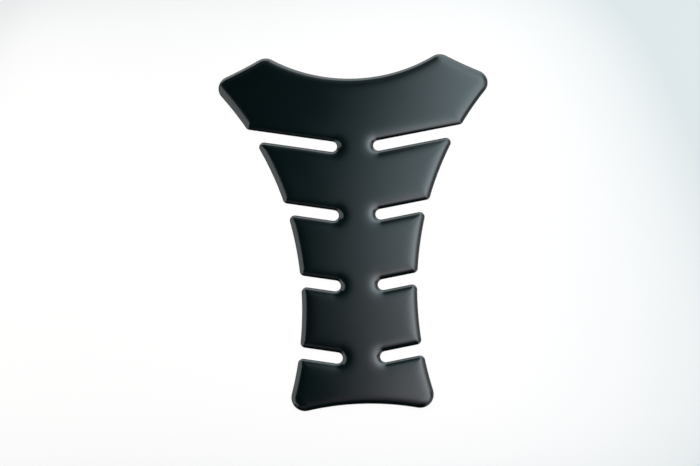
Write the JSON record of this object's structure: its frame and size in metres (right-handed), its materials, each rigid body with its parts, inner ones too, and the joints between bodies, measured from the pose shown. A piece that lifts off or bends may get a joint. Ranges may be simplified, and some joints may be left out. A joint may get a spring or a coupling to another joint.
{
  "type": "tank pad",
  "caption": "Domed black gel tank pad with swept wings, a central spine and slanted side slots between its ribs, lying on its flat adhesive back.",
  "frame": {"origin": "on the flat adhesive back, under the middle of the pad's length and width", "axes": "+Y along the spine towards the wide wing end, +X to the right seen from the domed side, +Z out of the back through the gel"},
  "size_m": [0.1656, 0.2156, 0.0021],
  "materials": {
    "gel": "satin"
  },
  "bodies": {
    "root": {"tank_pad": "gel"}
  },
  "joints": []
}
